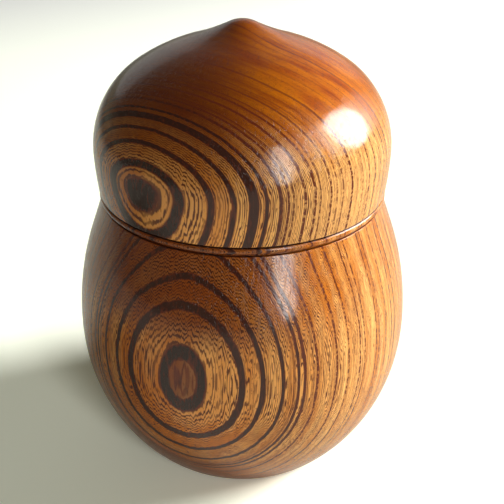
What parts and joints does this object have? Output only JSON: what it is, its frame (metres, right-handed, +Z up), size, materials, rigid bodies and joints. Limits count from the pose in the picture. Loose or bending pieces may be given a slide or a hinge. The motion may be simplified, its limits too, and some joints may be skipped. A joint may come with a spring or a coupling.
{
  "type": "tea caddy",
  "caption": "Chestnut-shaped turned wooden tea caddy: round-bellied body with a bead at the neck, and a domed lid with a small pointed tip that lifts off an inner lip.",
  "frame": {"origin": "centre of the foot, on the surface that the caddy stands on", "axes": "+Z up along the turning axis to the tip of the lid; -Y faces the viewer; +X to the viewer's right"},
  "size_m": [0.075, 0.075, 0.098],
  "materials": {
    "body_wood": "ring-porous wood under a wiped amber lacquer, satin gloss",
    "lid_wood": "ring-porous wood under a wiped amber lacquer, satin gloss"
  },
  "bodies": {
    "body": {"caddy_body": "body_wood"},
    "lid": {"caddy_lid": "lid_wood"}
  },
  "joints": [
    {"name": "lid_lift", "type": "slide", "parent": "body", "child": "lid", "axis": [0, 0, 1], "range_m": [0, 0.06]}
  ]
}
